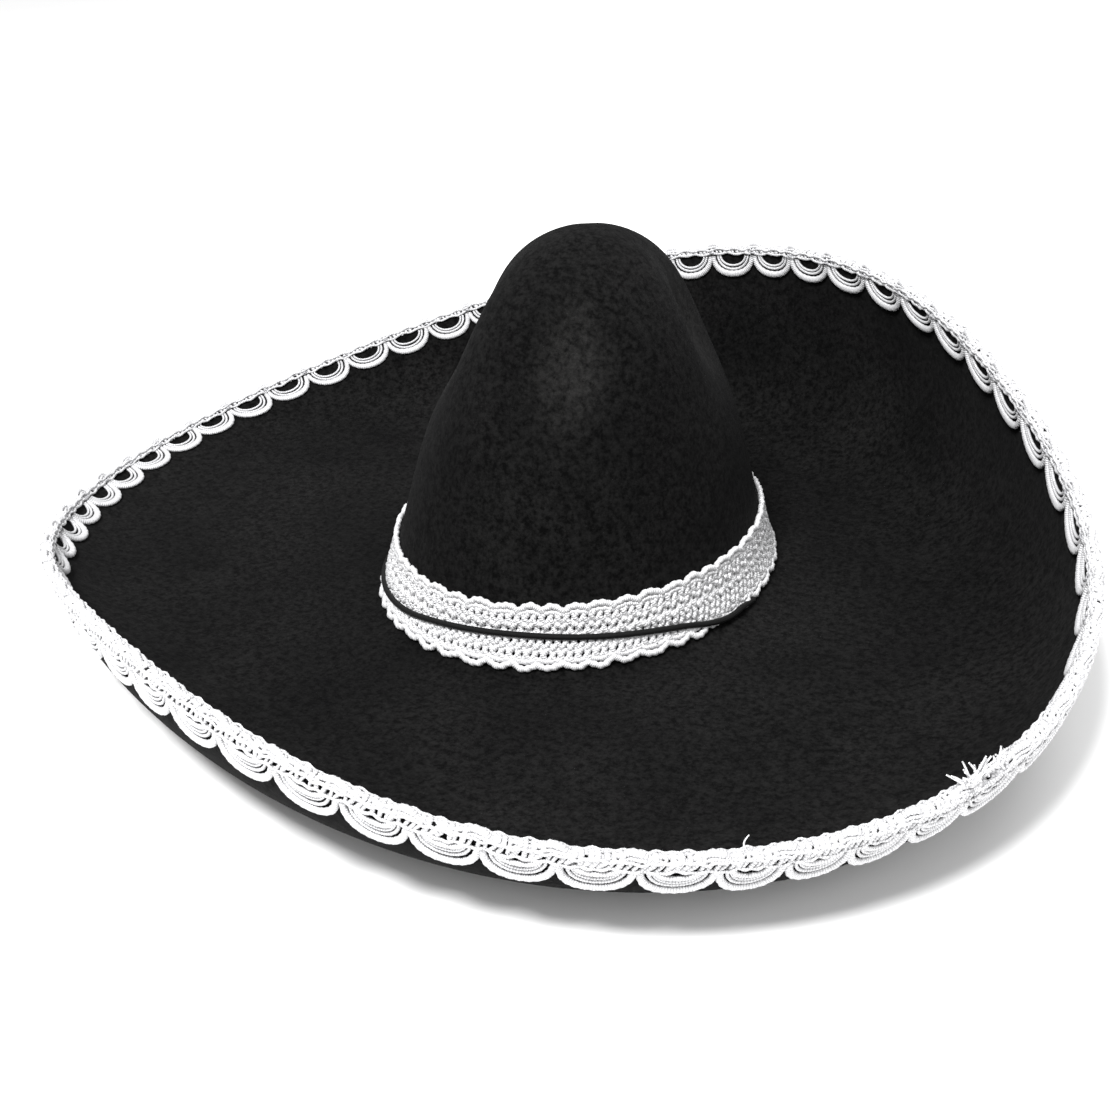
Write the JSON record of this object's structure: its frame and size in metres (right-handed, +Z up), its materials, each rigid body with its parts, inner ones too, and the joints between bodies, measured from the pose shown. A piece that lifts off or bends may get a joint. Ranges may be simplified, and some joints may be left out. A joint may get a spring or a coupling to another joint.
{
  "type": "sombrero",
  "caption": "Wide felt sombrero with a curled brim, scalloped metallic edge braid, ribbed crown band and elastic chin cord worn up over the band.",
  "frame": {"origin": "middle of the head opening, on the plane that the brim rests on", "axes": "+Z up through the crown, -Y towards the wearer's face, +X towards the wearer's left"},
  "size_m": [0.5564, 0.4803, 0.1768],
  "materials": {
    "felt": "matte pressed felt, near black",
    "edge_braid": "silver-white metallic gimp braid",
    "braid_yarn": "loose silver-white yarn",
    "thread": "grey sewing thread",
    "crown_band": "silver-white metallic ribbed braid",
    "elastic": "black covered elastic cord",
    "sweatband": "black ribbed ribbon",
    "black_thread": "black sewing thread"
  },
  "bodies": {
    "root": {"felt_body": "felt", "edge_braid_header": "edge_braid", "edge_braid_upper_scallops": "edge_braid", "edge_braid_lower_scallops": "edge_braid", "edge_braid_picots": "edge_braid", "edge_braid_splice_tails": "braid_yarn", "edge_braid_stitches": "thread", "crown_band": "crown_band", "crown_band_upper_cord": "crown_band", "crown_band_lower_cord": "crown_band", "crown_band_lap": "crown_band", "chin_cord": "elastic", "chin_cord_knot_left": "elastic", "chin_cord_knot_right": "elastic", "sweatband": "sweatband", "sweatband_stitches": "black_thread"}
  },
  "joints": []
}
